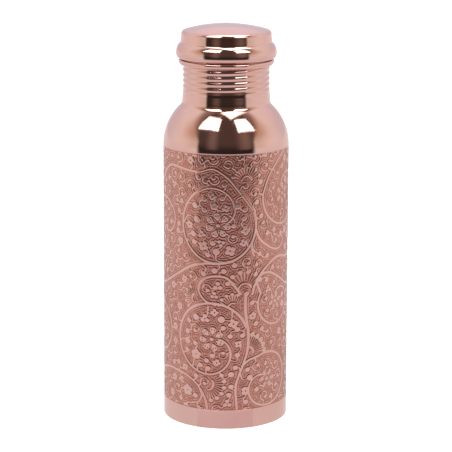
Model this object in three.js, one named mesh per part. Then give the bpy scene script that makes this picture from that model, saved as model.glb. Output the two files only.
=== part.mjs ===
// Copper water bottle with an engraved body and a screw cap.
// Millimetres, +Z up. The bottle stands on z = 0 and its axis is the Z axis.
import * as THREE from 'three';

// General
const SEGMENTS = 40;
const WALL = 0.6;
const GAP = 0.3;

// Body and base
const BODY_RADIUS = 36.5;
const BAND_DEPTH = 0.15;
const BAND_BOTTOM = 11.3;
const BAND_TOP = 161.5;
const BAND_EDGE = 0.3;
const RIM_ROUND = 0.25;
const BASE_PANEL_HEIGHT = 5.0;
const BASE_CORNER = 1.6;

// Shoulder: a convex arc that starts upright on the body, then a hollow fillet into the neck
const SHOULDER_BOTTOM = 161.8;
const SHOULDER_RADIUS = 31.5;
const SHOULDER_SWEEP = 46.0;
const FILLET_RADIUS = 4.4;

// Neck with its rolled right-hand thread
const THREAD_LEAD = 3.2;
const THREAD_DEPTH = 0.47;
const THREAD_CREST = 25.1;
const NECK_TOP_RADIUS = 24.6;
const CREST_HEIGHT_AT_X_AXIS = 200.5;
const ROWS_PER_LEAD = 5;
const THREAD_START = [192.5, 196.0];
const THREAD_END = [213.9, 216.5];
const LIP_TOP = 221.8;
const LIP_ROLL = 0.85;

// Cap shell: domed top, rounded rim, slightly tapered wall and an elliptical bead
const CAP_APEX = 231.4;
const DOME_RADIUS = 89.0;
const RIM_RADIUS = 2.3;
const CAP_TOP_RADIUS = 26.0;
const BEAD_RADIUS = 29.1;
const BEAD_MIDDLE = 215.15;
const BEAD_FILLET = 1.2;
const BEAD_UPPER_ROUND = 5.7;
const BEAD_MIDDLE_ROUND = 8.7;
const BEAD_LOWER_ROUND = 2.94;
const BEAD_TILTS = [50, 23, -5, -75.5];

// Threaded ring that is seated in the cap; its lower edge is turned out, up and in again as a collar
const RING_PLAIN = THREAD_CREST + GAP;
const RING_OUTER = RING_PLAIN + WALL;
const RING_BOTTOM = 208.0;
const RING_THREAD_START = [208.6, 210.2];
const RING_THREAD_END = [217.4, 218.9];
const RING_NECK_RADIUS = NECK_TOP_RADIUS + GAP;
const COLLAR_RADIUS = 27.6;
const COLLAR_WIDEST = 210.45;
const COLLAR_CURL = 1.0;

// Seal under the cap's flat seat
const SEAL_BOTTOM = LIP_TOP + GAP;
const SEAL_THICKNESS = 2.0;
const SEAL_OUTER = 25.2;
const SEAL_INNER = 20.5;
const SEAT_RADIUS = 25.1;

const radians = THREE.MathUtils.degToRad;
const point = (r, z) => new THREE.Vector2(r, z);

// Points on an ellipse about (r, z), from one angle to another; 0 degrees points away from the axis.
function ellipse(r, z, halfWidth, halfHeight, startDegrees, endDegrees, steps) {
  const points = [];
  for (let i = 0; i <= steps; i += 1) {
    const angle = radians(THREE.MathUtils.lerp(startDegrees, endDegrees, i / steps));
    points.push(point(r + halfWidth * Math.cos(angle), z + halfHeight * Math.sin(angle)));
  }
  return points;
}

const arc = (r, z, radius, start, end, steps) => ellipse(r, z, radius, radius, start, end, steps);

// Evenly spaced points up or down a cylinder.
function upright(r, startZ, endZ, steps) {
  const points = [];
  for (let i = 0; i <= steps; i += 1) {
    points.push(point(r, THREE.MathUtils.lerp(startZ, endZ, i / steps)));
  }
  return points;
}

// 1 on the thread's crest and 0 in its root, for a right-hand helix about +Z.
function threadRidge(angle, z) {
  const turns = (z - CREST_HEIGHT_AT_X_AXIS) / THREAD_LEAD;
  return 0.5 + 0.5 * Math.cos(2 * Math.PI * turns - angle);
}

const rise = (z, [from, to]) => THREE.MathUtils.smoothstep(z, from, to);

// Turns an outline about the Z axis. radiusAt may move each point in or out by its angle.
function revolve(outline, radiusAt = (r) => r) {
  const geometry = new THREE.LatheGeometry(outline, SEGMENTS);
  geometry.rotateX(Math.PI / 2);
  const position = geometry.getAttribute('position');
  for (let i = 0; i < position.count; i += 1) {
    const x = position.getX(i);
    const y = position.getY(i);
    const r = Math.hypot(x, y);
    if (r > 0) {
      const scale = radiusAt(r, position.getZ(i), Math.atan2(y, x)) / r;
      position.setX(i, x * scale);
      position.setY(i, y * scale);
    }
  }
  geometry.computeVertexNormals();
  return geometry;
}

// Shoulder outline from the body up to the neck; inset moves it inward by the wall.
function shoulder(inset) {
  const centreR = BODY_RADIUS - SHOULDER_RADIUS;
  const reach = SHOULDER_RADIUS + FILLET_RADIUS;
  const filletR = centreR + reach * Math.cos(radians(SHOULDER_SWEEP));
  const filletZ = SHOULDER_BOTTOM + reach * Math.sin(radians(SHOULDER_SWEEP));
  const convex = arc(centreR, SHOULDER_BOTTOM, SHOULDER_RADIUS - inset, 0, SHOULDER_SWEEP, 8);
  const hollow = arc(filletR, filletZ, FILLET_RADIUS + inset, 180 + SHOULDER_SWEEP, 180, 4);
  return [...convex, ...hollow.slice(1)];
}

// Drawn copper vessel: plain foot band, shallow engraved band, shoulder, threaded neck, rolled lip.
function bodyShell() {
  const bandRadius = BODY_RADIUS - BAND_DEPTH;
  const inner = BODY_RADIUS - WALL;
  const bore = NECK_TOP_RADIUS - WALL;
  const lipCentreR = NECK_TOP_RADIUS - LIP_ROLL;
  const lipCentreZ = LIP_TOP - LIP_ROLL;
  const threadRows = Math.round((ROWS_PER_LEAD * (THREAD_END[1] - THREAD_START[0])) / THREAD_LEAD);
  const outside = [
    point(inner, 0),
    point(BODY_RADIUS - RIM_ROUND, 0),
    point(BODY_RADIUS, RIM_ROUND),
    point(BODY_RADIUS, BAND_BOTTOM - BAND_EDGE),
    point(bandRadius, BAND_BOTTOM),
    point(bandRadius, BAND_TOP - BAND_EDGE),
    point(BODY_RADIUS, BAND_TOP),
    ...shoulder(0),
    ...upright(THREAD_CREST, THREAD_START[0], THREAD_END[1], threadRows),
  ];
  const lip = arc(lipCentreR, lipCentreZ, LIP_ROLL, 0, 230, 8);
  const inside = [
    point(bore, lipCentreZ - 2 * LIP_ROLL),
    point(bore, THREAD_START[0]),
    ...shoulder(WALL).reverse(),
    point(inner, 0),
  ];
  const midWall = NECK_TOP_RADIUS - WALL / 2;
  return revolve([...outside, ...lip, ...inside], (r, z, angle) => {
    if (r < midWall || z < THREAD_START[0] - GAP || z > THREAD_END[1] + GAP) {
      return r;
    }
    const rootCut = THREAD_DEPTH * rise(z, THREAD_START) * (1 - threadRidge(angle, z));
    return THREE.MathUtils.lerp(THREAD_CREST - rootCut, NECK_TOP_RADIUS, rise(z, THREAD_END));
  });
}

// Pressed disc with a down-turned flange, brazed inside the foot of the body.
function basePlate() {
  const outer = BODY_RADIUS - WALL - GAP;
  const panelTop = BASE_PANEL_HEIGHT + WALL;
  const cornerR = outer - BASE_CORNER;
  const cornerZ = panelTop - BASE_CORNER;
  return revolve([
    point(0, BASE_PANEL_HEIGHT),
    ...arc(cornerR, cornerZ, BASE_CORNER - WALL, 90, 0, 3),
    point(outer - WALL, 0),
    point(outer, 0),
    ...arc(cornerR, cornerZ, BASE_CORNER, 0, 90, 4),
    point(0, panelTop),
  ]);
}

// Bead outline: hollow fillet out of the wall, then three rounds that follow on smoothly.
function beadOutline(inset) {
  const [steep, upper, lower, edge] = BEAD_TILTS;
  const beyond = (centre, distance, degrees) =>
    point(
      centre.x + distance * Math.cos(radians(degrees)),
      centre.y + distance * Math.sin(radians(degrees)),
    );
  const middle = point(BEAD_RADIUS - BEAD_MIDDLE_ROUND, BEAD_MIDDLE);
  const top = beyond(middle, BEAD_MIDDLE_ROUND - BEAD_UPPER_ROUND, upper);
  const bottom = beyond(middle, BEAD_MIDDLE_ROUND - BEAD_LOWER_ROUND, lower);
  const fillet = beyond(top, BEAD_UPPER_ROUND + BEAD_FILLET, steep);
  return [
    ...arc(fillet.x, fillet.y, BEAD_FILLET + inset, 180, 180 + steep, 3),
    ...arc(top.x, top.y, BEAD_UPPER_ROUND - inset, steep, upper, 3).slice(1),
    ...arc(middle.x, middle.y, BEAD_MIDDLE_ROUND - inset, upper, lower, 3).slice(1),
    ...arc(bottom.x, bottom.y, BEAD_LOWER_ROUND - inset, lower, edge, 4).slice(1),
  ];
}

// Cap outline from the apex down to the bead's in-turned edge; inset moves it inward by the wall.
function capOutline(inset) {
  const domeCentre = CAP_APEX - DOME_RADIUS;
  const rimR = CAP_TOP_RADIUS - RIM_RADIUS;
  const rimZ = domeCentre + Math.sqrt((DOME_RADIUS - RIM_RADIUS) ** 2 - rimR ** 2);
  const rimAngle = THREE.MathUtils.radToDeg(Math.atan2(rimZ - domeCentre, rimR));
  return [
    ...arc(0, domeCentre, DOME_RADIUS - inset, 90, rimAngle, 5),
    ...arc(rimR, rimZ, RIM_RADIUS - inset, rimAngle, 0, 4).slice(1),
    ...beadOutline(inset),
  ];
}

function capShell() {
  const outside = capOutline(0);
  const inside = capOutline(WALL);
  return revolve([...outside, ...inside.reverse()].reverse());
}

// Outline of the ring: thread side up, over its top, down the back and round the curled collar.
function capThreadRing() {
  const threadRows = Math.round(
    (ROWS_PER_LEAD * (RING_THREAD_END[1] - RING_THREAD_START[0])) / THREAD_LEAD,
  );
  const reach = COLLAR_RADIUS - RING_PLAIN;
  const depth = COLLAR_WIDEST - RING_BOTTOM;
  const curlRadius = COLLAR_RADIUS - COLLAR_CURL;
  const outline = [
    ...ellipse(RING_PLAIN, COLLAR_WIDEST, reach, depth, -90, 0, 6).reverse(),
    ...upright(RING_PLAIN, RING_THREAD_START[0], RING_THREAD_END[1], threadRows),
    point(RING_NECK_RADIUS, RING_THREAD_END[1] + GAP),
    point(RING_NECK_RADIUS, LIP_TOP),
    point(RING_NECK_RADIUS + WALL, LIP_TOP),
    point(RING_NECK_RADIUS + WALL, RING_THREAD_END[1] + WALL),
    point(RING_OUTER, RING_THREAD_END[1]),
    ...ellipse(RING_OUTER, COLLAR_WIDEST, reach - 2 * WALL, depth - 2 * WALL, -90, 0, 4),
    point(curlRadius, COLLAR_WIDEST + COLLAR_CURL - WALL),
    ...ellipse(curlRadius, COLLAR_WIDEST, COLLAR_CURL, COLLAR_CURL, 0, 90, 4).reverse().slice(0, -1),
  ];
  outline.push(outline[0].clone());
  return revolve(outline.reverse(), (r, z, angle) => {
    const onThreadSide = Math.abs(r - RING_PLAIN) < WALL / 4;
    if (!onThreadSide) {
      return r;
    }
    const fade = rise(z, RING_THREAD_START) * (1 - rise(z, RING_THREAD_END));
    return RING_PLAIN - THREAD_DEPTH * fade * (1 - threadRidge(angle, z));
  });
}

// Flat disc pressed into the cap above the seal.
function sealPlate() {
  const bottom = SEAL_BOTTOM + SEAL_THICKNESS + GAP;
  return revolve([
    point(0, bottom),
    point(SEAT_RADIUS, bottom),
    point(SEAT_RADIUS, bottom + WALL),
    point(0, bottom + WALL),
  ]);
}

// Flat silicone ring that the bottle's lip closes on.
function capSeal() {
  const top = SEAL_BOTTOM + SEAL_THICKNESS;
  const edge = SEAL_THICKNESS / 4;
  return revolve([
    point(SEAL_INNER, SEAL_BOTTOM),
    point(SEAL_OUTER - edge, SEAL_BOTTOM),
    point(SEAL_OUTER, SEAL_BOTTOM + edge),
    point(SEAL_OUTER, top - edge),
    point(SEAL_OUTER - edge, top),
    point(SEAL_INNER, top),
    point(SEAL_INNER, SEAL_BOTTOM),
  ]);
}

const polishedCopper = { color: 0xc98468, roughness: 0.16, metalness: 1.0 };
const dullCopper = { color: 0xa9644a, roughness: 0.42, metalness: 1.0 };
const silicone = { color: 0xe4e0d8, roughness: 0.6, metalness: 0.0 };

const subParts = [
  { name: 'body_shell', geometry: bodyShell(), finish: polishedCopper },
  { name: 'base_plate', geometry: basePlate(), finish: dullCopper },
  { name: 'cap_shell', geometry: capShell(), finish: polishedCopper },
  { name: 'cap_thread_ring', geometry: capThreadRing(), finish: polishedCopper },
  { name: 'seal_plate', geometry: sealPlate(), finish: dullCopper },
  { name: 'cap_seal', geometry: capSeal(), finish: silicone },
];

const group = new THREE.Group();
for (const { name, geometry, finish } of subParts) {
  const mesh = new THREE.Mesh(geometry, new THREE.MeshStandardMaterial(finish));
  mesh.name = name;
  group.add(mesh);
}

export default group;
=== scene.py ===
"""Looks of a copper water bottle with an engraved vine band and a beaded screw cap.

Every piece is built in millimetres around the bottle's axis, scaled to metres, and rides on its CAD body.
"""

import math

import bpy
import numpy as np
from mathutils import Euler, Matrix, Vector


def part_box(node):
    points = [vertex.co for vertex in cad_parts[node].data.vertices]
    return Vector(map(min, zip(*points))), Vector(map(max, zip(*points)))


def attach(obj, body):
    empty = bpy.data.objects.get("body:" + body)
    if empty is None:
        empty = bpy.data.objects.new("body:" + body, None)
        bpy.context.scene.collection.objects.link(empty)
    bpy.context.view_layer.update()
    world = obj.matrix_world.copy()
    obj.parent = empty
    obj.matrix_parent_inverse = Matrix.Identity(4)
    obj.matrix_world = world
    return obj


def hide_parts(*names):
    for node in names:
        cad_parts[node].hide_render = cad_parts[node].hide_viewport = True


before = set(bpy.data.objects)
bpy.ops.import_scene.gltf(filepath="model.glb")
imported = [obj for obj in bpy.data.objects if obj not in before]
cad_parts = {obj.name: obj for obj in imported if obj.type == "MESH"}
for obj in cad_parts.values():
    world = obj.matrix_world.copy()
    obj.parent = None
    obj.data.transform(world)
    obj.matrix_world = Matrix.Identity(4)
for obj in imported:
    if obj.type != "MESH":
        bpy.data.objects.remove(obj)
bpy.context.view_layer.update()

MM = 0.001


def box_corners(node):
    """Low and high corner of a CAD node's box, in millimetres."""
    low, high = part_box(node)
    return low / MM, high / MM


# Sizes read from the CAD model.
BODY_HIGH = box_corners("body_shell")[1]
CAP_HIGH = box_corners("cap_shell")[1]
BASE_HIGH = box_corners("base_plate")[1]
RING_LOW, RING_HIGH = box_corners("cap_thread_ring")
SEAT_LOW, SEAT_HIGH = box_corners("seal_plate")
SEAL_LOW, SEAL_HIGH = box_corners("cap_seal")

BODY_RADIUS = BODY_HIGH.x
LIP_TOP = BODY_HIGH.z
WALL = SEAT_HIGH.z - SEAT_LOW.z
INNER_RADIUS = BODY_RADIUS - WALL

# Engraved band: the ground is sunk below the plain body and the pattern stands up from it.
BAND_BOTTOM = 11.3
BAND_TOP = 161.5
BAND_SECTORS = 6
GROUND_DEPTH = 0.27
PATTERN_DEPTH = 0.04
BEVEL = 0.14

# Shoulder arc and the hollow fillet into the neck.
SHOULDER_BOTTOM = 161.8
SHOULDER_RADIUS = 31.5
SHOULDER_SWEEP = 46.0
FILLET_RADIUS = 4.4

# Rolled right-hand thread on the neck, and the matching one inside the cap's ring.
THREAD_LEAD = 3.2
THREAD_DEPTH = 0.47
THREAD_CREST = 25.1
NECK_TOP_RADIUS = 24.6
CREST_HEIGHT_AT_X_AXIS = 200.5
THREAD_START = (192.5, 196.0)
THREAD_END = (213.9, 216.5)
THREAD_CLEARANCE = 0.3
RING_THREAD_START = (208.6, 210.2)
RING_THREAD_END = (217.4, 218.9)
LIP_ROLL = 0.85
COLLAR_WIDEST = 210.45
COLLAR_CURL = 1.0

# Cap shell.
DOME_RADIUS = 89.0
RIM_RADIUS = 2.3
CAP_TOP_RADIUS = 26.0
BEAD_MIDDLE = 215.15
BEAD_FILLET = 1.2
BEAD_UPPER_ROUND = 5.7
BEAD_MIDDLE_ROUND = 8.7
BEAD_LOWER_ROUND = 2.94
BEAD_TILTS = (50.0, 23.0, -5.0, -75.5)

SEGMENTS = 192
ROWS_PER_LEAD = 14
SHARP_DEGREES = 40.0


# ---------------------------------------------------------------- outlines

def ellipse(r, z, half_width, half_height, start, end, steps):
    """Points (r, z) on an ellipse, from angle start to end in degrees; 0 points away from the axis."""
    angles = np.radians(np.linspace(start, end, steps + 1))
    return [(r + half_width * math.cos(a), z + half_height * math.sin(a)) for a in angles]


def arc(r, z, radius, start, end, steps):
    return ellipse(r, z, radius, radius, start, end, steps)


def line(start, end, steps):
    """Evenly spaced points from start to end, both included."""
    return [tuple(p) for p in np.linspace(start, end, steps + 1)]


def rise(x, span):
    """0 before the span, 1 after it, smooth between."""
    t = np.clip((x - span[0]) / (span[1] - span[0]), 0.0, 1.0)
    return t * t * (3.0 - 2.0 * t)


def thread_ridge(angle, z):
    """1 on the crest and 0 in the root of a right-hand helix about +Z."""
    turns = (z - CREST_HEIGHT_AT_X_AXIS) / THREAD_LEAD
    return 0.5 + 0.5 * np.cos(2.0 * math.pi * turns - angle)


# ---------------------------------------------------------------- meshes

def make_object(name, vertices, faces, materials, face_material=None):
    mesh = bpy.data.meshes.new(name)
    mesh.from_pydata(vertices, [], faces)
    for material in materials:
        mesh.materials.append(material)
    if face_material is not None:
        mesh.polygons.foreach_set("material_index", face_material)
    mesh.polygons.foreach_set("use_smooth", [True] * len(mesh.polygons))
    mesh.validate()
    piece = bpy.data.objects.new(name, mesh)
    bpy.context.scene.collection.objects.link(piece)
    return piece


def lathe(name, outline, materials, radius_at=None, inner_rows=()):
    """Turns a closed outline of (r, z) points about the Z axis into one closed skin.

    A point on the axis becomes a single vertex. radius_at(r, z, angle) may ripple the radius. Outline edges
    in the row range inner_rows get the second material.
    """
    outline = np.array(outline, float)
    if np.allclose(outline[0], outline[-1]):
        outline = outline[:-1]
    angles = np.linspace(0.0, 2.0 * math.pi, SEGMENTS, endpoint=False)
    vertices, rows = [], []
    for r, z in outline:
        if r < 1e-6:
            rows.append([len(vertices)] * SEGMENTS)
            vertices.append((0.0, 0.0, z * MM))
            continue
        radii = np.full(SEGMENTS, r) if radius_at is None else radius_at(r, z, angles)
        rows.append(range(len(vertices), len(vertices) + SEGMENTS))
        ring = np.stack([radii * np.cos(angles), radii * np.sin(angles), np.full(SEGMENTS, z)], 1)
        vertices.extend(map(tuple, ring * MM))
    on_axis = [r < 1e-6 for r, _ in outline]
    faces, face_material = [], []
    for i in range(len(rows)):
        j = (i + 1) % len(rows)
        if on_axis[i] and on_axis[j]:
            continue
        low, high = rows[i], rows[j]
        for k in range(SEGMENTS):
            n = (k + 1) % SEGMENTS
            quad = [low[k], low[n], high[n], high[k]]
            faces.append([v for v, before in zip(quad, quad[-1:] + quad[:-1]) if v != before])
            face_material.append(1 if inner_rows and inner_rows[0] <= i < inner_rows[1] else 0)
    piece = make_object(name, vertices, faces, materials, face_material)
    piece.data.set_sharp_from_angle(angle=math.radians(SHARP_DEGREES))
    return piece


def place(piece, body, node):
    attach(piece, body)
    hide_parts(node)


# ---------------------------------------------------------------- node helpers

def put(tree, socket, value):
    """Links value to the socket if it is a node's output, or else stores it there."""
    if isinstance(value, bpy.types.NodeSocket):
        tree.links.new(value, socket)
    else:
        socket.default_value = value


def add(tree, kind, inputs=None, **settings):
    node = tree.nodes.new(kind)
    for key, value in settings.items():
        setattr(node, key, value)
    for key, value in (inputs or {}).items():
        put(tree, node.inputs[key], value)
    return node


def calc(tree, operation, *values):
    node = add(tree, "ShaderNodeMath", operation=operation)
    for socket, value in zip(node.inputs, values):
        put(tree, socket, value)
    return node.outputs[0]


def total(tree, *values):
    result = values[0]
    for value in values[1:]:
        result = calc(tree, "ADD", result, value)
    return result


def product(tree, *values):
    result = values[0]
    for value in values[1:]:
        result = calc(tree, "MULTIPLY", result, value)
    return result


def ease(tree, value, low, high, to_low=0.0, to_high=1.0):
    """Smooth step of value from to_low at low to to_high at high."""
    node = add(tree, "ShaderNodeMapRange", interpolation_type="SMOOTHSTEP", clamp=True)
    for socket, given in zip(node.inputs, (value, low, high, to_low, to_high)):
        put(tree, socket, given)
    return node.outputs[0]


def blend_colour(tree, factor, first, second):
    node = add(tree, "ShaderNodeMix", data_type="RGBA", blend_type="MIX", clamp_factor=True)
    put(tree, node.inputs[0], factor)
    put(tree, node.inputs[6], first)
    put(tree, node.inputs[7], second)
    return node.outputs[2]


def noise(tree, vector, scale, detail=3.0, roughness=0.5):
    inputs = {"Vector": vector, "Scale": scale, "Detail": detail, "Roughness": roughness}
    return add(tree, "ShaderNodeTexNoise", inputs).outputs[0]


def stretched(tree, vector, scale):
    inputs = {"Vector": vector, "Scale": scale}
    return add(tree, "ShaderNodeMapping", inputs).outputs[0]


def around_axis(tree, position):
    """Cylinder coordinates of a position: (cos, sin) direction about Z kept in x and y, and height in z."""
    parts = add(tree, "ShaderNodeSeparateXYZ", {"Vector": position})
    flat = add(tree, "ShaderNodeCombineXYZ", {"X": parts.outputs[0], "Y": parts.outputs[1], "Z": 0.0})
    unit = add(tree, "ShaderNodeVectorMath", {0: flat.outputs[0]}, operation="NORMALIZE")
    split = add(tree, "ShaderNodeSeparateXYZ", {"Vector": unit.outputs[0]})
    combined = {"X": split.outputs[0], "Y": split.outputs[1], "Z": parts.outputs[2]}
    return add(tree, "ShaderNodeCombineXYZ", combined).outputs[0]


def new_material(name):
    material = bpy.data.materials.new(name)
    material.use_nodes = True
    tree = material.node_tree
    shader = tree.nodes["Principled BSDF"]
    position = add(tree, "ShaderNodeTexCoord").outputs["Object"]
    return material, tree, shader, position


# ---------------------------------------------------------------- materials

COPPER = (0.77, 0.505, 0.445, 1.0)
COPPER_WARM = (0.74, 0.46, 0.39, 1.0)
COPPER_DEEP = (0.52, 0.27, 0.19, 1.0)
GROUND_TONE = (0.57, 0.245, 0.185, 1.0)
TARNISH = (0.36, 0.145, 0.10, 1.0)


def polished_copper(name, roughness=0.055):
    """Buffed copper: faint tone drift, lathe lines round the axis, smudges and a few hair scratches."""
    material, tree, shader, position = new_material(name)
    ring = around_axis(tree, position)
    drift = noise(tree, position, 28.0, 4.0)
    lines = noise(tree, stretched(tree, ring, (0.6, 0.6, 5200.0)), 1.0, 2.0)
    smudge = noise(tree, position, 75.0, 5.0, 0.6)
    scratch_field = noise(tree, stretched(tree, position, (900.0, 900.0, 60.0)), 1.0, 1.0)
    scratch = ease(tree, scratch_field, 0.70, 0.76)
    tone = blend_colour(tree, ease(tree, drift, 0.35, 0.75), COPPER, COPPER_WARM)
    put(tree, shader.inputs["Base Color"], tone)
    shader.inputs["Metallic"].default_value = 1.0
    smudged = ease(tree, smudge, 0.45, 0.75, roughness, roughness * 1.9)
    put(tree, shader.inputs["Roughness"], total(tree, smudged, product(tree, scratch, 0.05)))
    height = total(tree, lines, product(tree, scratch, -0.6))
    bump = add(tree, "ShaderNodeBump", {"Strength": 0.05, "Distance": 0.00025, "Height": height})
    put(tree, shader.inputs["Normal"], bump.outputs[0])
    return material


def satin_copper(name):
    """Unpolished copper: spun rings, brown oxide clouds and a few stains."""
    material, tree, shader, position = new_material(name)
    parts = add(tree, "ShaderNodeSeparateXYZ", {"Vector": position})
    squared = total(
        tree,
        product(tree, parts.outputs[0], parts.outputs[0]),
        product(tree, parts.outputs[1], parts.outputs[1]),
    )
    radius = calc(tree, "SQRT", squared)
    spiral = add(tree, "ShaderNodeCombineXYZ", {"X": radius, "Y": 0.0, "Z": parts.outputs[2]}).outputs[0]
    rings = noise(tree, stretched(tree, spiral, (3800.0, 1.0, 3800.0)), 1.0, 2.0)
    clouds = noise(tree, position, 55.0, 5.0, 0.6)
    stains = ease(tree, noise(tree, position, 190.0, 4.0), 0.62, 0.70)
    tone = blend_colour(tree, ease(tree, clouds, 0.35, 0.7), COPPER_WARM, COPPER_DEEP)
    tone = blend_colour(tree, product(tree, stains, 0.5), tone, TARNISH)
    put(tree, shader.inputs["Base Color"], tone)
    shader.inputs["Metallic"].default_value = 1.0
    put(tree, shader.inputs["Roughness"], ease(tree, clouds, 0.3, 0.8, 0.30, 0.48))
    bump = add(tree, "ShaderNodeBump", {"Strength": 0.35, "Distance": 0.0001, "Height": rings})
    put(tree, shader.inputs["Normal"], bump.outputs[0])
    return material


def silicone(name):
    """Milky food-grade silicone with a matt moulded skin and a little dust."""
    material, tree, shader, position = new_material(name)
    clouds = noise(tree, position, 60.0, 3.0)
    dust = ease(tree, noise(tree, position, 900.0, 2.0), 0.66, 0.74)
    tone = blend_colour(tree, clouds, (0.86, 0.84, 0.79, 1.0), (0.78, 0.75, 0.69, 1.0))
    tone = blend_colour(tree, product(tree, dust, 0.4), tone, (0.55, 0.50, 0.45, 1.0))
    put(tree, shader.inputs["Base Color"], tone)
    put(tree, shader.inputs["Roughness"], ease(tree, clouds, 0.3, 0.7, 0.45, 0.60))
    shader.inputs["Subsurface Weight"].default_value = 0.15
    shader.inputs["Subsurface Scale"].default_value = 0.002
    grain = noise(tree, position, 2500.0, 2.0)
    bump = add(tree, "ShaderNodeBump", {"Strength": 0.25, "Distance": 0.0001, "Height": grain})
    put(tree, shader.inputs["Normal"], bump.outputs[0])
    return material


def engraved_copper(name):
    """Satin copper: the raised motif is brushed bright, the etched ground is grainy and darker."""
    material, tree, shader, position = new_material(name)
    relief = add(tree, "ShaderNodeAttribute", attribute_name="relief").outputs["Fac"]
    raised = ease(tree, relief, 0.15, 0.85)
    clouds = noise(tree, position, 45.0, 5.0, 0.6)
    grain = noise(tree, position, 3800.0, 2.0)
    worn = ease(tree, noise(tree, position, 30.0, 4.0), 0.35, 0.70)
    ground = blend_colour(tree, product(tree, clouds, 0.6), GROUND_TONE, TARNISH)
    top = blend_colour(tree, worn, COPPER_WARM, COPPER)
    put(tree, shader.inputs["Base Color"], blend_colour(tree, raised, ground, top))
    shader.inputs["Metallic"].default_value = 1.0
    ground_rough = ease(tree, clouds, 0.3, 0.7, 0.22, 0.30)
    top_rough = ease(tree, clouds, 0.3, 0.7, 0.11, 0.17)
    mixed = add(tree, "ShaderNodeMix", data_type="FLOAT")
    put(tree, mixed.inputs[0], raised)
    put(tree, mixed.inputs[2], ground_rough)
    put(tree, mixed.inputs[3], top_rough)
    put(tree, shader.inputs["Roughness"], mixed.outputs[0])
    etched = product(tree, grain, ease(tree, raised, 0.0, 1.0, 1.0, 0.15))
    bump = add(tree, "ShaderNodeBump", {"Strength": 0.4, "Distance": 0.00012, "Height": etched})
    put(tree, shader.inputs["Normal"], bump.outputs[0])
    return material


body_polish = polished_copper("body_polish")
engraved = engraved_copper("engraved")
cap_polish = polished_copper("cap_polish")
ring_polish = polished_copper("ring_polish", roughness=0.09)
raw_copper = satin_copper("raw_copper")
seal_rubber = silicone("seal_rubber")


# ---------------------------------------------------------------- bottle pieces

def shoulder(inset, steps):
    """Outline from the top of the body up to the foot of the neck, moved in by inset."""
    centre_r = BODY_RADIUS - SHOULDER_RADIUS
    sweep = math.radians(SHOULDER_SWEEP)
    reach = SHOULDER_RADIUS + FILLET_RADIUS
    fillet_r = centre_r + reach * math.cos(sweep)
    fillet_z = SHOULDER_BOTTOM + reach * math.sin(sweep)
    convex = arc(centre_r, SHOULDER_BOTTOM, SHOULDER_RADIUS - inset, 0, SHOULDER_SWEEP, steps)
    hollow = arc(fillet_r, fillet_z, FILLET_RADIUS + inset, 180 + SHOULDER_SWEEP, 180, steps // 3)
    return convex + hollow[1:]


def neck_radius(r, z, angle):
    """The sheet's radius at r with the thread rolled into it: both faces ripple together."""
    if z < THREAD_START[0] or z > THREAD_END[1]:
        return np.full(len(angle), r)
    root_cut = THREAD_DEPTH * rise(z, THREAD_START) * (1.0 - thread_ridge(angle, z))
    wall = THREAD_CREST - root_cut
    return r - NECK_TOP_RADIUS + wall + (NECK_TOP_RADIUS - wall) * rise(z, THREAD_END)


def make_neck_and_shoulder():
    rows = round(ROWS_PER_LEAD * (THREAD_END[1] - THREAD_START[0]) / THREAD_LEAD)
    bore = NECK_TOP_RADIUS - WALL
    lip_r, lip_z = NECK_TOP_RADIUS - LIP_ROLL, LIP_TOP - LIP_ROLL
    edge_r = BODY_RADIUS - BEVEL
    outside = [(edge_r, BAND_TOP)]
    outside += arc(edge_r, BAND_TOP + BEVEL, BEVEL, -90, 0, 3)[1:]
    outside += shoulder(0.0, 36)[1:]
    taper_top = THREAD_START[0] - 0.01
    outside += line(outside[-1], (THREAD_CREST, taper_top), 6)[1:]
    outside += line((NECK_TOP_RADIUS, THREAD_START[0]), (NECK_TOP_RADIUS, THREAD_END[1]), rows)
    lip = arc(lip_r, lip_z, LIP_ROLL, 0, 250, 20)
    inside = line((bore, THREAD_END[1]), (bore, THREAD_START[0]), rows)
    inside += [(THREAD_CREST - WALL, taper_top)]
    inside += shoulder(WALL, 24)[::-1]
    inside += [(INNER_RADIUS, BAND_TOP)]
    outline = outside + lip + inside
    inner_rows = (len(outside) + len(lip), len(outline))
    return lathe("neck_and_shoulder", outline, [body_polish, raw_copper], neck_radius, inner_rows)


def make_foot_band():
    edge_r = BODY_RADIUS - BEVEL
    outline = [(INNER_RADIUS, 0.0)]
    outline += arc(edge_r, BEVEL, BEVEL, -90, 0, 5)
    outline += line((BODY_RADIUS, BEVEL), (BODY_RADIUS, BAND_BOTTOM - BEVEL), 6)[1:]
    outline += arc(edge_r, BAND_BOTTOM - BEVEL, BEVEL, 0, 90, 3)[1:]
    outline += [(INNER_RADIUS, BAND_BOTTOM)]
    inner = len(outline) - 1
    return lathe("foot_band", outline, [body_polish, raw_copper], inner_rows=(inner, inner + 1))


def make_base_disc():
    """Pressed disc with a down-turned flange, stepped and dished in the middle."""
    outer = BASE_HIGH.x
    top = BASE_HIGH.z
    under = top - WALL
    corner = 1.6
    dish_r, dish_depth = 24.0, 0.5
    step_low, step_high = dish_r - 0.9, dish_r + 0.9

    def panel(z, count):
        """Points inward across the step at height z."""
        radii = np.linspace(step_high, step_low, count)
        return [(r, z - dish_depth * float(rise(-r, (-step_high, -step_low)))) for r in radii]

    under_side = [(0.0, under - dish_depth)] + panel(under, 9)[::-1]
    under_side += arc(outer - corner, top - corner, corner - WALL, 90, 0, 8)
    rim = [(outer - WALL, 0.15), (outer - WALL + 0.15, 0.0), (outer - 0.15, 0.0), (outer, 0.15)]
    upper_side = arc(outer - corner, top - corner, corner, 0, 90, 8)
    upper_side += panel(top, 9) + [(0.0, top - dish_depth)]
    outline = under_side + rim + upper_side
    return lathe("base_disc", outline, [raw_copper])


# ---------------------------------------------------------------- engraved band

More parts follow.
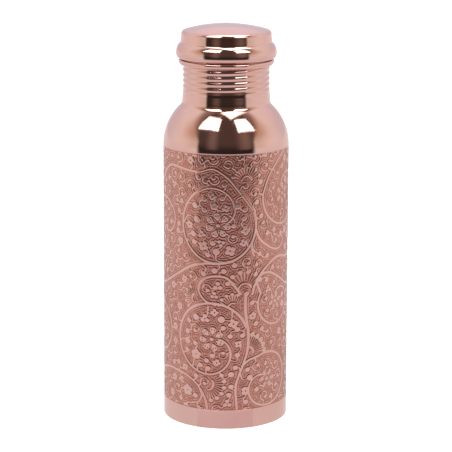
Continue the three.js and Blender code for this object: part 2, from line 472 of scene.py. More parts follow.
TILE = math.pi * BODY_RADIUS
TILE_COLUMNS = 438
BAND_ROWS = 576
CELL_S = TILE / TILE_COLUMNS
CELL_Z = (BAND_TOP - BAND_BOTTOM) / BAND_ROWS
REACH = 5.0
ECHO_PITCH = 1.2
ECHO_HEIGHT = 0.58
WAVE_COUNT = 24
VINE_WEIGHT = 1.15
LEAST_ROOM = 2.8
MOST_ROOM = 4.4

column_s = -TILE / 2 + CELL_S * np.arange(TILE_COLUMNS)
row_z = BAND_BOTTOM + CELL_Z * np.arange(BAND_ROWS + 1)

# Signed distances in millimetres on the unrolled tile: to the raised motif, and to the lines cut into it.
motif = np.full((BAND_ROWS + 1, TILE_COLUMNS), REACH)
cuts = np.full((BAND_ROWS + 1, TILE_COLUMNS), REACH)


def stamp(field, s, z, radius):
    """Adds a disc to a distance field; the tile wraps round in s."""
    half_columns = int((REACH + 0.5) / CELL_S)
    half_rows = int((REACH + 0.5) / CELL_Z)
    middle_column = round((s + TILE / 2) / CELL_S)
    middle_row = round((z - BAND_BOTTOM) / CELL_Z)
    columns = np.arange(middle_column - half_columns, middle_column + half_columns + 1)
    rows = np.arange(max(middle_row - half_rows, 0), min(middle_row + half_rows, BAND_ROWS) + 1)
    if len(rows) == 0:
        return
    across = columns * CELL_S - TILE / 2 - s
    along = row_z[rows] - z
    distance = np.hypot(across[None, :], along[:, None]) - radius
    patch = np.ix_(rows, columns % TILE_COLUMNS)
    field[patch] = np.minimum(field[patch], distance)


def stroke(field, points, start_radius, end_radius, spacing=0.3):
    """Draws a line of discs along the points, tapering from one radius to the other."""
    points = np.array(points, float)
    steps = np.hypot(*np.diff(points, axis=0).T)
    travelled = np.concatenate([[0.0], np.cumsum(steps)])
    count = max(int(travelled[-1] / spacing), 1)
    for t in np.linspace(0.0, 1.0, count + 1):
        s = np.interp(t * travelled[-1], travelled, points[:, 0])
        z = np.interp(t * travelled[-1], travelled, points[:, 1])
        stamp(field, s, z, start_radius + (end_radius - start_radius) * t)


def spline(*knots):
    """Smooth curve through the knots."""
    knots = np.array(knots, float)
    padded = np.vstack([2 * knots[0] - knots[1], knots, 2 * knots[-1] - knots[-2]])
    points = []
    for before, start, end, after in zip(padded, padded[1:], padded[2:], padded[3:]):
        for t in np.linspace(0.0, 1.0, 12, endpoint=False):
            cubic = (-before + 3 * start - 3 * end + after) * t ** 3
            square = (2 * before - 5 * start + 4 * end - after) * t ** 2
            points.append(0.5 * (cubic + square + (end - before) * t + 2 * start))
    return points + [knots[-1]]


def polar(centre, radius, degrees):
    angle = math.radians(degrees)
    return (centre[0] + radius * math.cos(angle), centre[1] + radius * math.sin(angle))


def scroll(centre, radius, start, sweep, hook=100.0, tip=0.22):
    """Points round a circle that curl in to tip times its radius over the last hook degrees."""
    points = []
    for turned in np.linspace(0.0, abs(sweep), 90):
        curled = max(turned - (abs(sweep) - hook), 0.0) / hook
        shrunk = radius * (1.0 - (1.0 - tip) * curled ** 1.7)
        points.append(polar(centre, shrunk, start + math.copysign(turned, sweep)))
    return points


def vine(points, start_radius=0.75, end_radius=0.55):
    stroke(motif, points, VINE_WEIGHT * start_radius, VINE_WEIGHT * end_radius)


def daisy(centre, petals=7, size=7.7, turn=90.0):
    """Round eye, stamens and spreading petals with two pricked dots in each."""
    stamp(motif, *centre, 1.15)
    for petal in range(petals):
        angle = turn + 360.0 * petal / petals
        petal_line = [polar(centre, size * 0.42, angle), polar(centre, size * 0.72, angle)]
        stroke(motif, petal_line, 0.5, size * 0.24)
        for side in (-1, 1):
            stamp(cuts, *polar(centre, size * 0.74, angle + side * 8.0), 0.22)
        between = angle + 180.0 / petals
        stroke(motif, [polar(centre, size * 0.24, between), polar(centre, size * 0.55, between)], 0.18, 0.30)


def blossom(centre, lobes=4, size=2.6, turn=45.0):
    """Small flower of round lobes about a pricked eye."""
    for lobe in range(lobes):
        stamp(motif, *polar(centre, size * 0.52, turn + 360.0 * lobe / lobes), size * 0.44)
    stamp(cuts, *centre, 0.28)


def fan(centre, direction, size=11.0, spread=65.0, ribs=11):
    """Palmette: a curved base, radial ribs, and a scalloped rim."""
    base = [polar(centre, size * 0.32, direction + a) for a in np.linspace(-spread * 1.1, spread * 1.1, 12)]
    stroke(motif, base, 0.55, 0.55)
    for angle in np.linspace(direction - spread, direction + spread, ribs):
        stroke(motif, [polar(centre, size * 0.44, angle), polar(centre, size * 0.84, angle)], 0.16, 0.42)
    scallops = (ribs + 1) // 2
    for angle in np.linspace(direction - spread, direction + spread, scallops):
        stamp(motif, *polar(centre, size * 0.88, angle), size * 0.115)


def sprig(root, head, bend, radius=1.45):
    """A curled stem from root to a round bud at head."""
    root, head = np.array(root, float), np.array(head, float)
    along = head - root
    side = np.array([-along[1], along[0]]) * bend
    stroke(motif, spline(root, root + along * 0.5 + side, head), 0.42, 0.38)
    stamp(motif, *head, radius)


def tendril(centre, radius, start, turn, root):
    """Curled shoot that winds in to a bud."""
    coil = scroll(centre, radius, start, 300 * turn, hook=200.0, tip=0.3)
    stroke(motif, spline(root, *coil[::8]), 0.45, 0.32)
    stamp(motif, *coil[-1], 1.15)


def draw_main_vines():
    vine(spline(
        (58, 120), (60, 131), (66, 144), (76, 152.5), (86, 152.5), (97, 151.5), (107, 153.8), (114.5, 150),
    ))
    vine(spline((-0.2, 150), (4, 146), *scroll((-4.4, 121.3), 22.3, 50, -398)[6:]))
    vine(scroll((-8, 54), 21.4, 20, 340))
    daisy((-4.4, 121.3), turn=96)
    daisy((-8, 54), turn=82)

    # Upright stem, with the palmette on its head.
    vine(spline(
        (11.8, 80), (11.6, 74), (12.2, 66), (13.6, 57), (13, 47), (10.5, 39), (7.5, 31), (6, 24), (7, 10),
    ))
    stamp(motif, 12.3, 80.8, 1.5)
    fan((11.3, 83), 92, size=12.5)

    # Long wave round the bottle.
    vine(spline((-5, 99), (-13, 98.6), (-22, 95.5), (-32, 89.5), (-42, 84), (-50, 81), (-57.6, 79.4)))
    vine(spline((57, 79.4), (48, 81), (42, 83.8), (35, 88), (29, 91), (24, 91.6), (20, 89.7)), 0.6, 0.6)
    rising = spline(
        (16, 80.5), (17, 84.5), (20, 89.7), (24, 94), (30, 98), (37, 99.6), (46, 98), (56, 99.4), (66, 103),
    )
    vine(rising, 0.8, 0.6)

    # Small scroll between the two large ones.
    vine(spline(
        (8.6, 81), (5.5, 85.5), (0, 90.8), (-8, 91.3), (-13.6, 88.6), (-16, 83), (-12.5, 77.2), (-6, 74.4),
    ))
    fan((4.4, 72.6), 118, size=9.5, spread=48, ribs=9)
    fan((-17.5, 77.5), 172, size=8.5, spread=52, ribs=9)

    # Right-hand scrolls.
    vine(spline((44, 163), (34, 155.5), (27, 148), *scroll((40, 136), 17.5, 172, 298, tip=0.3)), 0.65, 0.5)
    daisy((40, 136), petals=6, size=6.6)
    vine(spline((18.6, 87.5), (19.7, 84), *scroll((33, 73.5), 13.4, 150, 300, tip=0.34)), 0.6, 0.5)
    daisy((33, 73.5), petals=6, size=5.6, turn=70)
    vine(spline((18, 118), (20, 113), (24, 109), (31, 105), (37, 104.5), (41, 108), (39, 112)), 0.6, 0.45)
    stamp(motif, 38.6, 112.6, 1.7)
    vine(spline((15.5, 110.5), (15.6, 106), (17, 102.5)), 0.55, 0.4)

    # Lower right.
    vine(spline((10, 38), (14, 41), *scroll((26.5, 28), 16.0, 112, -330, tip=0.3)), 0.7, 0.5)
    daisy((26.5, 28), petals=6, size=6.0, turn=60)
    fan((12.5, 45), 38, size=13.5, spread=34, ribs=9)

    # Lower left.
    falling = spline(
        (-57, 27), (-48, 30), (-40, 32), (-30, 31.6), (-22, 29.5), (-16, 25), (-12, 18), (-10.4, 10),
    )
    vine(falling, 0.6, 0.6)
    vine(spline((-16, 25), (-14, 20), (-16, 15.5), (-20, 14.5)), 0.5, 0.4)
    blossom((-23.5, 21.5), 5, 3.6, 20)
    fan((-10.6, 27), -22, size=11.5, spread=55, ribs=11)

    # Far side.
    vine(scroll((-52, 55), 14.5, -80, 330, tip=0.3), 0.6, 0.5)
    daisy((-52, 55), petals=6, size=6.2)
    vine(scroll((-47, 118), 15.0, -95, -320, tip=0.3), 0.6, 0.5)
    daisy((-47, 118), petals=6, size=6.4, turn=80)
    fan((12, 146.5), 90, size=9.5, spread=70, ribs=11)


def draw_leading_sprigs():
    sprig((2.2, 127), (4.6, 121), 0.25)
    sprig((9.6, 138), (6.8, 132.2), -0.35, 1.7)
    sprig((17, 110), (20.5, 103.5), -0.3)
    sprig((-25, 130), (-18.2, 132), 0.3, 1.8)
    sprig((-26.3, 121), (-17, 124), 0.35, 2.0)
    sprig((-23, 111), (-19.4, 115.4), 0.35, 1.7)
    sprig((0, 100), (-5.4, 106), 0.4, 2.0)
    sprig((-26.5, 126), (-30, 127.4), 0.3)
    sprig((-26, 117), (-31, 115.4), 0.3, 1.7)
    sprig((-12, 142.4), (-12, 146.6), -0.5, 1.7)
    sprig((1, 100.5), (5.2, 98), 0.3, 1.6)
    sprig((-4, 99.5), (-6.4, 94.8), 0.3, 1.7)
    sprig((-3, 91), (-1, 94.6), 0.4, 1.6)
    sprig((-14, 98), (-13, 92.6), 0.4, 1.6)
    sprig((4, 71), (-2.4, 66), 0.45, 2.1)
    sprig((-10, 73.4), (-17.6, 66.4), 0.35, 1.9)
    sprig((3, 41.5), (7, 44.6), -0.5, 1.6)
    sprig((-3, 33.8), (3.4, 33), -0.45, 1.8)
    sprig((12.6, 62), (7, 60), 0.3, 1.6)
    sprig((-29.4, 50), (-23.4, 51.4), 0.2, 2.0)
    sprig((8.6, 33.5), (14.6, 30.4), -0.4, 1.8)
    sprig((6, 24), (3.4, 25.6), 0.3, 1.6)
    sprig((-20, 36), (-11, 41), 0.45, 1.5)
    sprig((7.5, 18), (11.5, 24), -0.4, 1.2)
    blossom((12, 22.6), 4, 3.0)
    blossom((2.6, 106.6), 4, 3.4, 30)
    blossom((-13, 109), 4, 3.2, 60)
    blossom((11.5, 118), 4, 3.0, 10)
    blossom((4.6, 63.4), 4, 3.2, 20)
    blossom((-17.6, 44.2), 5, 3.4, 10)
    blossom((-12, 66), 3, 3.0, 90)
    blossom((-4.4, 85.6), 3, 3.0, 210)
    blossom((1.2, 15.4), 3, 2.8, 90)


def fill_gaps(chance):
    """Adds tendrils, blossoms and buds wherever the motif leaves room, each on a stem from its neighbour."""
    for _ in range(400):
        row, column = np.unravel_index(np.argmax(motif), motif.shape)
        room = motif[row, column]
        if room < LEAST_ROOM:
            return
        s, z = column_s[column] + chance.uniform(-0.3, 0.3), row_z[row] + chance.uniform(-0.3, 0.3)
        size = min(room, MOST_ROOM)
        directions = np.arange(0, 360, 15)
        around = [polar((s, z), size, a) for a in directions]
        rows = [int(np.clip(round((p[1] - BAND_BOTTOM) / CELL_Z), 0, BAND_ROWS)) for p in around]
        columns = [round((p[0] + TILE / 2) / CELL_S) % TILE_COLUMNS for p in around]
        nearest = directions[int(np.argmin(motif[rows, columns]))]
        root = polar((s, z), room + 0.3, nearest)
        bend = chance.choice((-0.3, 0.3))
        if size > 3.9 and chance.random() < 0.6:
            tendril((s, z), size * 0.66, nearest, chance.choice((-1, 1)), root)
        elif size > 3.4 and chance.random() < 0.6:
            blossom((s, z), int(chance.integers(3, 6)), 2.5, chance.uniform(0, 120))
            stroke(motif, spline(root, polar((s, z), room * 0.6, nearest + 30), (s, z)), 0.38, 0.3)
        else:
            sprig(root, (s, z), bend, 1.55)


def relief_map():
    """Height of the band from 0 in the etched ground to 1 on the motif."""
    chance = np.random.default_rng(7)
    draw_main_vines()
    draw_leading_sprigs()
    fill_gaps(chance)
    raised = rise(-motif, (-0.16, 0.16)) * rise(cuts, (-0.05, 0.2))
    waves = np.zeros_like(motif)
    grid_s, grid_z = np.meshgrid(column_s * 2.0 * math.pi / TILE, row_z)
    for _ in range(WAVE_COUNT):
        turns = int(chance.integers(-60, 61))
        pitch = chance.uniform(-3.4, 3.4)
        waves += np.cos(turns * grid_s + pitch * grid_z + chance.uniform(0, 6.28))
    waves /= WAVE_COUNT ** 0.5
    echo = 0.5 + 0.5 * np.cos(2.0 * math.pi * (motif - 0.95) / ECHO_PITCH + 0.4 * waves)
    dashes = rise(waves, (-1.5, -0.5))
    ground = ECHO_HEIGHT * rise(echo, (0.15, 0.85)) * dashes * rise(motif, (0.3, 0.6))
    return np.maximum(raised, ground)


def band_surface():
    """Relief, radius and outward normal at each row and column, over the whole way round."""
    tile = relief_map()
    relief = np.hstack([tile, tile])
    edge = np.minimum(row_z - BAND_BOTTOM, BAND_TOP - row_z)
    relief = relief * rise(edge, (0.0, 0.5))[:, None]
    radius = BODY_RADIUS - GROUND_DEPTH + (GROUND_DEPTH - PATTERN_DEPTH) * relief
    angle = -math.pi + 2.0 * math.pi * np.arange(2 * TILE_COLUMNS) / (2 * TILE_COLUMNS)
    slope_s = (np.roll(radius, -1, 1) - np.roll(radius, 1, 1)) / (2.0 * CELL_S)
    slope_z = np.gradient(radius, CELL_Z, axis=0)
    out = np.stack([np.cos(angle), np.sin(angle)], 1)
    along = np.stack([-np.sin(angle), np.cos(angle)], 1)
    flat = out[None] - slope_s[..., None] * along[None]
    normal = np.concatenate([flat, -slope_z[..., None]], 2)
    normal /= np.linalg.norm(normal, axis=2, keepdims=True)
    height = np.broadcast_to(row_z[:, None], radius.shape)
    position = np.concatenate([radius[..., None] * out[None], height[..., None]], 2)
    return relief, position, normal, angle


def make_band_sectors(material):
    """Closed sectors that meet edge to edge: engraved outer face, smooth inner face, flat edges."""
    relief, position, normal, angle = band_surface()
    width = 2 * TILE_COLUMNS // BAND_SECTORS
    rows = BAND_ROWS + 1
    for sector in range(BAND_SECTORS):
        columns = np.arange(sector * width, (sector + 1) * width + 1) % (2 * TILE_COLUMNS)
        outer = position[:, columns].reshape(-1, 3)
        inner_flat = INNER_RADIUS * np.stack([np.cos(angle[columns]), np.sin(angle[columns])], 1)
        low = np.column_stack([inner_flat, np.full(width + 1, BAND_BOTTOM)])
        high = np.column_stack([inner_flat, np.full(width + 1, BAND_TOP)])
        vertices = np.vstack([outer, low, high]) * MM
        grid = np.arange(rows * (width + 1)).reshape(rows, width + 1)
        low_row = grid.size + np.arange(width + 1)
        high_row = low_row + width + 1

        u = np.linspace(0.01, 0.90, width + 1)
        v = np.linspace(0.02, 0.98, rows)
        grid_uv = np.stack(np.broadcast_arrays(u[None, :], v[:, None]), 2).reshape(-1, 2)

        quads = np.stack([grid[:-1, :-1], grid[:-1, 1:], grid[1:, 1:], grid[1:, :-1]], 2).reshape(-1, 4)
        faces = quads.tolist()
        uvs = [grid_uv[quads.ravel()]]
        normals = [normal[:, columns].reshape(-1, 3)[quads.ravel()]]

        def strip(first, second, v_first, v_second, u_first=0.01, u_last=0.90):
            """Quads between two rows of points, anticlockwise seen from outside."""
            across = np.linspace(u_first, u_last, width + 1)
            for k in range(width):
                face = [first[k], first[k + 1], second[k + 1], second[k]]
                faces.append([int(i) for i in face])
                a, b, c = (vertices[i] for i in face[:3])
                facing = np.cross(b - a, c - b)
                normals.append(np.tile(facing / np.linalg.norm(facing), (4, 1)))
                left, right = across[k], across[k + 1]
                uvs.append(np.array([(left, v_first), (right, v_first), (right, v_second), (left, v_second)]))

        strip(low_row, grid[0], 0.002, 0.012)
        strip(grid[-1], high_row, 0.986, 0.998)
        strip(high_row, low_row, 0.02, 0.98, 0.93, 0.97)
        for column, turned, u_edge in ((0, False, 0.978), (width, True, 0.990)):
            edge = [*grid[:, column], high_row[column], low_row[column]]
            edge_uv = [(u_edge, y) for y in v] + [(u_edge + 0.004, 0.98), (u_edge + 0.004, 0.02)]
            facing = np.array([-math.sin(angle[columns[column]]), math.cos(angle[columns[column]]), 0.0])
            if not turned:
                facing = -facing
            else:
                edge, edge_uv = edge[::-1], edge_uv[::-1]
            faces.append([int(i) for i in edge])
            normals.append(np.tile(facing, (len(edge), 1)))
            uvs.append(np.array(edge_uv))

        name = f"engraved_band_{sector + 1}"
        piece = make_object(name, vertices.tolist(), faces, [material])
        mesh = piece.data
        layer = mesh.uv_layers.new(name="OFBake")
        layer.uv.foreach_set("vector", np.concatenate(uvs).ravel().astype(np.float32))
        attribute = mesh.attributes.new("relief", "FLOAT", "POINT")
        values = np.concatenate([relief[:, columns].ravel(), np.zeros(2 * (width + 1))])
        attribute.data.foreach_set("value", values.astype(np.float32))
        mesh.normals_split_custom_set(np.concatenate(normals).tolist())
        place(piece, "bottle", "body_shell")


# ---------------------------------------------------------------- cap pieces

def bead_outline(inset, fine):
    """Hollow fillet out of the cap's wall, then three rounds that follow on smoothly."""
    steep, upper, lower, edge = BEAD_TILTS
    middle = (CAP_HIGH.x - BEAD_MIDDLE_ROUND, BEAD_MIDDLE)
    top = polar(middle, BEAD_MIDDLE_ROUND - BEAD_UPPER_ROUND, upper)
    bottom = polar(middle, BEAD_MIDDLE_ROUND - BEAD_LOWER_ROUND, lower)
    fillet = polar(top, BEAD_UPPER_ROUND + BEAD_FILLET, steep)
    outline = arc(*fillet, BEAD_FILLET + inset, 180, 180 + steep, 6 * fine)
    outline += arc(*top, BEAD_UPPER_ROUND - inset, steep, upper, 7 * fine)[1:]
    outline += arc(*middle, BEAD_MIDDLE_ROUND - inset, upper, lower, 8 * fine)[1:]
    outline += arc(*bottom, BEAD_LOWER_ROUND - inset, lower, edge, 10 * fine)[1:]
    return outline


def cap_outline(inset, fine):
    """Outline of the cap shell from the apex to the bead's in-turned edge, moved in by inset."""
    dome_z = CAP_HIGH.z - DOME_RADIUS
    rim_r = CAP_TOP_RADIUS - RIM_RADIUS
    rim_z = dome_z + math.sqrt((DOME_RADIUS - RIM_RADIUS) ** 2 - rim_r ** 2)
    rim_angle = math.degrees(math.atan2(rim_z - dome_z, rim_r))
    outline = arc(0.0, dome_z, DOME_RADIUS - inset, 90, rim_angle, 16 * fine)
    outline += arc(rim_r, rim_z, RIM_RADIUS - inset, rim_angle, 0, 8 * fine)[1:]
    bead = bead_outline(inset, fine)
    outline += line((CAP_TOP_RADIUS - inset, rim_z), bead[0], 4)[1:]
    outline += bead[1:]
    outline[0] = (0.0, outline[0][1])
    return outline


def make_cap_skin():
    outside = cap_outline(0.0, 2)
    inside = cap_outline(WALL, 1)[::-1]
    outline = outside + inside
    return lathe("cap_skin", outline[::-1], [cap_polish, raw_copper], inner_rows=(0, len(inside)))


def ring_radius(r, z, angle):
    """Threaded face inside the ring; every other face keeps its radius."""
    if abs(r - THREAD_CREST - THREAD_CLEARANCE) > 1e-6:
        return np.full(len(angle), r)
    fade = rise(z, RING_THREAD_START) * (1.0 - rise(z, RING_THREAD_END))
    return r - THREAD_DEPTH * fade * (1.0 - thread_ridge(angle, z))


def make_cap_ring():
    """Threaded sleeve whose lower edge is turned out, up and in again to make a rounded collar."""
    plain = THREAD_CREST + THREAD_CLEARANCE
    back = plain + WALL
    neck = NECK_TOP_RADIUS + THREAD_CLEARANCE
    reach = RING_HIGH.x - plain
    depth = COLLAR_WIDEST - RING_LOW.z
    curl_r = RING_HIGH.x - COLLAR_CURL
    rows = round(ROWS_PER_LEAD * (RING_THREAD_END[1] - RING_THREAD_START[0]) / THREAD_LEAD)
    outline = line((plain, RING_THREAD_START[0]), (plain, RING_THREAD_END[1]), rows)
    outline += [(neck, RING_THREAD_END[1] + 0.3), (neck, LIP_TOP - 0.1), (neck + 0.1, LIP_TOP)]
    outline += [(neck + WALL - 0.1, LIP_TOP), (neck + WALL, LIP_TOP - 0.1)]
    outline += [(neck + WALL, RING_THREAD_END[1] + WALL), (back, RING_THREAD_END[1])]
    outline += ellipse(back, COLLAR_WIDEST, reach - 2 * WALL, depth - 2 * WALL, -90, 0, 10)
    outline += arc(curl_r, COLLAR_WIDEST, COLLAR_CURL - WALL, 0, 90, 6)[1:]
    outline += arc(curl_r, COLLAR_WIDEST, COLLAR_CURL, 90, 0, 16)
    outline += ellipse(plain, COLLAR_WIDEST, reach, depth, 0, -90, 24)[1:]
    return lathe("cap_ring", outline[::-1], [ring_polish], ring_radius)


def make_cap_seat():
    """Flat seat disc with a softened edge and one pressed ring."""
    radius = SEAT_HIGH.x
    low, high = SEAT_LOW.z, SEAT_HIGH.z
    soften = 0.15
    groove = [(9.0, 0.0), (8.4, 0.14), (7.8, 0.0)]
    outline = [(0.0, low)]
    outline += [(r, low + d) for r, d in groove[::-1]]
    outline += [(radius - soften, low), (radius, low + soften), (radius, high - soften)]
    outline += [(radius - soften, high), (0.0, high)]
    return lathe("cap_seat", outline, [raw_copper])


def make_seal_ring():
    """Flat silicone ring with rounded edges and the faint line that the lip presses into it."""
    inner, outer = 20.5, SEAL_HIGH.x
    low, high = SEAL_LOW.z, SEAL_HIGH.z
    soften = 0.35
    lip_line = NECK_TOP_RADIUS - LIP_ROLL
    outline = [(inner + soften, low), (lip_line - 0.8, low), (lip_line, low + 0.12), (lip_line + 0.8, low)]
    outline += arc(outer - soften, low + soften, soften, -90, 0, 5)
    outline += arc(outer - soften, high - soften, soften, 0, 90, 5)
    outline += arc(inner + soften, high - soften, soften, 90, 180, 5)
    outline += arc(inner + soften, low + soften, soften, 180, 270, 5)
    return lathe("seal_ring", outline, [seal_rubber])


place(make_neck_and_shoulder(), "bottle", "body_shell")
make_band_sectors(engraved)
place(make_foot_band(), "bottle", "body_shell")
place(make_base_disc(), "bottle", "base_plate")
place(make_cap_skin(), "cap", "cap_shell")
place(make_cap_ring(), "cap", "cap_thread_ring")
place(make_cap_seat(), "cap", "seal_plate")
place(make_seal_ring(), "seal", "cap_seal")


# ---------------------------------------------------------------- camera

# Metres, degrees, and millimetres for the lens.
CAMERA_DISTANCE = 1.1
CAMERA_HEIGHT = 0.3633
CAMERA_SIDE = 0.00014
CAMERA_TILT = 12.84
CAMERA_ROLL = 0.207
LENS = 153.2


def make_camera():
    data = bpy.data.cameras.new("camera")
    data.lens = LENS
    data.sensor_width = 36.0
    data.clip_start = 0.01
    data.clip_end = 50.0
    camera = bpy.data.objects.new("camera", data)
    bpy.context.scene.collection.objects.link(camera)
    tilt = Euler((math.radians(90.0 - CAMERA_TILT), 0.0, 0.0)).to_matrix()
    roll = Matrix.Rotation(math.radians(CAMERA_ROLL), 3, "Z")
    camera.rotation_euler = (tilt @ roll).to_euler()
    camera.location = (CAMERA_SIDE, -CAMERA_DISTANCE, CAMERA_HEIGHT)
    bpy.context.scene.camera = camera


make_camera()


# ---------------------------------------------------------------- studio

# Metres and degrees.
SOFTBOX_DISTANCE = 1.0
SOFTBOX_NORMAL = 32.0
SHOULDER_HEIGHT = 0.175
FLOOR_EDGE = 53.0


def white_light(name, strength):
    material = bpy.data.materials.new(name)
    material.use_nodes = True
    tree = material.node_tree
    tree.nodes.clear()
    glow = add(tree, "ShaderNodeEmission", {"Strength": strength, "Color": (1.0, 1.0, 1.0, 1.0)})
    out = add(tree, "ShaderNodeOutputMaterial")
    tree.links.new(glow.outputs[0], out.inputs[0])
    return material


def studio_panel(name, corners, strength):
    """A glowing panel that lights and is reflected but isn't seen by the camera."""
    panel = make_object(name, corners, [tuple(range(len(corners)))], [white_light(name, strength)])
    panel.visible_camera = False
    panel.visible_shadow = False


def upright_softbox(name, side, near_degrees, far_degrees, bottom, top, strength):
    """Upright softbox in front of the bottle; side is -1 for left or 1 for right, as the camera sees it.

    Its plane faces the bottle from SOFTBOX_NORMAL degrees off the front. The two angles bound it, measured
    about the bottle from the front, and bottom and top are heights over the shoulder per metre of distance.
    """
    normal = math.radians(SOFTBOX_NORMAL)
    along = np.array([side * math.cos(normal), math.sin(normal)])
    outward = np.array([side * math.sin(normal), -math.cos(normal)]) * SOFTBOX_DISTANCE
    turned = [math.radians(a - SOFTBOX_NORMAL) for a in (near_degrees, far_degrees)]
    near, far = (outward + along * (math.tan(a) * SOFTBOX_DISTANCE) for a in turned)
    low, high = (SHOULDER_HEIGHT + h * SOFTBOX_DISTANCE for h in (bottom, top))
    corners = [(*near, low), (*far, low), (*far, high), (*near, high)]
    studio_panel(name, corners, strength)


def make_studio():
    upright_softbox("softbox_left", -1, 17.0, 62.0, 0.787, 2.157, 4.0)
    upright_softbox("softbox_right", 1, 26.0, 61.5, 0.682, 1.766, 4.0)
    height = 1.2
    ceiling = [(0.145, -0.474), (0.60, 0.15), (0.15, 0.60), (-0.45, 0.20)]
    corners = [(x * height, y * height, height + SHOULDER_HEIGHT) for x, y in ceiling]
    studio_panel("overhead_panel", corners, 3.0)


def front_angle(tree, x, y):
    """Degrees from straight in front of the bottle, positive towards +X."""
    return product(tree, calc(tree, "ARCTAN2", x, product(tree, y, -1.0)), 180.0 / math.pi)


def coloured(tree, colour, level):
    return add(tree, "ShaderNodeVectorMath", {0: colour, "Scale": level}, operation="SCALE").outputs[0]


def make_floor():
    """Pale table: plain to the camera; in the metal, lit at the sides and fading to dark far in front."""
    size = 8.0
    corners = [(-size, -size, 0.0), (size, -size, 0.0), (size, size, 0.0), (-size, size, 0.0)]
    material, tree, shader, position = new_material("floor_paper")
    grain = noise(tree, position, 3.0, 2.0)
    tone = blend_colour(tree, grain, (0.93, 0.93, 0.93, 1.0), (0.90, 0.90, 0.90, 1.0))
    put(tree, shader.inputs["Base Color"], tone)
    shader.inputs["Roughness"].default_value = 0.9
    shader.inputs["Emission Color"].default_value = (1.0, 1.0, 1.0, 1.0)
    shader.inputs["Emission Strength"].default_value = 0.55

    parts = add(tree, "ShaderNodeSeparateXYZ", {"Vector": position})
    x, y = parts.outputs[0], parts.outputs[1]
    distance = calc(tree, "SQRT", total(tree, product(tree, x, x), product(tree, y, y)))

    # Two straight lines from the foot bound the part in front, so its reflection has upright edges. The test
    # also holds in a strip straight behind the bottle, which the metal shows from the sides and behind.
    foot_angle = math.radians(FLOOR_EDGE / 2)
    edge_x = total(tree, calc(tree, "ABSOLUTE", x), -BODY_RADIUS * MM * math.sin(foot_angle))
    edge_y = total(tree, y, BODY_RADIUS * MM * math.cos(foot_angle))
    ahead = ease(tree, front_angle(tree, edge_x, edge_y), FLOOR_EDGE + 4.0, FLOOR_EDGE - 4.0)
    # What the metal sees of the table is painted reflection: dark far ahead, light nearer, with a little
    # painted shade close to the foot.
    front_level = total(
        tree,
        0.03,
        ease(tree, distance, 0.84, 0.46, 0.0, 0.66),
        ease(tree, distance, 0.45, 0.22, 0.0, 0.16),
        ease(tree, distance, 0.12, 0.04, 0.0, -0.07),
    )
    side_level = total(tree, 0.83, ease(tree, distance, 0.60, 1.30, 0.0, 0.07))
    front = coloured(tree, (1.0, 0.88, 0.92), front_level)
    side = coloured(tree, (1.0, 0.95, 0.97), side_level)
    in_metal = blend_colour(tree, ahead, side, front)
    mirrored = add(tree, "ShaderNodeEmission", {"Color": in_metal, "Strength": 1.0})
    glossy_ray = add(tree, "ShaderNodeLightPath").outputs["Is Glossy Ray"]
    either = add(tree, "ShaderNodeMixShader", {0: glossy_ray})
    tree.links.new(shader.outputs[0], either.inputs[1])
    tree.links.new(mirrored.outputs[0], either.inputs[2])
    tree.links.new(either.outputs[0], tree.nodes["Material Output"].inputs[0])
    floor = make_object("floor", corners, [(0, 1, 2, 3)], [material])


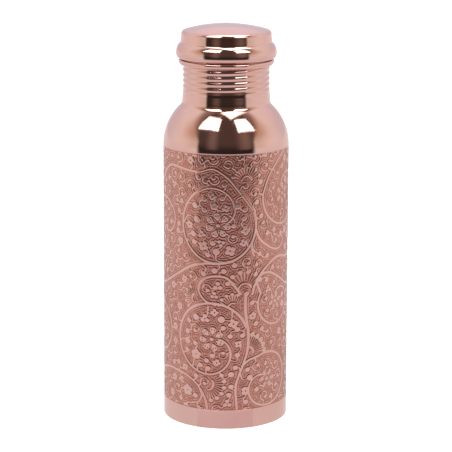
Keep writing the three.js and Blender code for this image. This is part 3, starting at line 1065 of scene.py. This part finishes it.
def make_world():
    """White tent that is open to a dark room in front of the bottle."""
    world = bpy.data.worlds.new("studio")
    bpy.context.scene.world = world
    world.use_nodes = True
    tree = world.node_tree
    tree.nodes.clear()
    direction = add(tree, "ShaderNodeTexCoord").outputs["Generated"]
    parts = add(tree, "ShaderNodeSeparateXYZ", {"Vector": direction})
    azimuth = front_angle(tree, parts.outputs[0], parts.outputs[1])
    elevation = product(tree, calc(tree, "ARCSINE", parts.outputs[2]), 180.0 / math.pi)
    off_front = calc(tree, "ABSOLUTE", azimuth)

    # Tent walls: white beside the bottle, cooler and dimmer behind it, brighter again high at the back.
    behind = ease(tree, off_front, 85.0, 160.0)
    tent = blend_colour(tree, behind, (0.97, 0.95, 0.94, 1.0), (0.74, 0.69, 0.77, 1.0))
    high_back = product(tree, behind, ease(tree, elevation, 14.0, 36.0, 0.0, 0.20))
    straight_behind = ease(tree, off_front, 163.0, 179.0)
    dome_glow = product(tree, straight_behind, ease(tree, elevation, 10.0, 26.0, 0.0, 0.20))
    near_opening = ease(tree, off_front, 84.0, 54.0, 0.0, -0.16)
    level = total(tree, 1.0, high_back, near_opening, dome_glow)

    # Next to the opening the walls are lit warmer, and in its upper corners they turn brown as painted shade.
    warm = ease(tree, off_front, 112.0, 62.0, 0.0, 0.8)
    tent = blend_colour(tree, warm, tent, (0.92, 0.83, 0.73, 1.0))
    corner = product(tree, ease(tree, off_front, 105.0, 66.0), ease(tree, elevation, 6.0, 26.0))
    tent = blend_colour(tree, product(tree, corner, 0.9), tent, (0.66, 0.47, 0.36, 1.0))

    # Opening: its side edges lean outward above 12 degrees of elevation.
    climb = calc(tree, "POWER", calc(tree, "MAXIMUM", total(tree, elevation, -12.0), 0.0), 1.3)
    edge = total(tree, 53.0, product(tree, climb, 0.28))
    softness = ease(tree, elevation, 10.0, 45.0, 3.0, 16.0)
    past_edge = total(tree, edge, product(tree, off_front, -1.0))
    inside = ease(tree, past_edge, product(tree, softness, -1.0), softness)
    opening = product(tree, inside, ease(tree, elevation, 90.0, 70.0))

    # Dark room: nearly black at the height of the bottle, with two dim upright streaks.
    left_streak = product(tree, ease(tree, azimuth, -42.0, -25.0), ease(tree, azimuth, -10.0, -25.0))
    right_streak = product(tree, ease(tree, azimuth, 14.0, 38.0), ease(tree, azimuth, 58.0, 38.0))
    room = total(
        tree,
        0.035,
        ease(tree, elevation, -4.0, 14.0, 0.0, 0.060),
        product(tree, left_streak, 0.13),
        product(tree, right_streak, 0.15),
        product(tree, ease(tree, off_front, 50.0, 85.0), 0.22),
    )
    dark = coloured(tree, (1.0, 0.74, 0.64), room)
    seen_in_metal = blend_colour(tree, opening, coloured(tree, tent, level), dark)

    camera_ray = add(tree, "ShaderNodeLightPath").outputs["Is Camera Ray"]
    colour = blend_colour(tree, camera_ray, seen_in_metal, (1.0, 1.0, 1.0, 1.0))
    background = add(tree, "ShaderNodeBackground", {"Color": colour, "Strength": 1.0})
    out = add(tree, "ShaderNodeOutputWorld")
    tree.links.new(background.outputs[0], out.inputs[0])


make_studio()
make_floor()
make_world()
bpy.context.scene.view_settings.view_transform = "Standard"
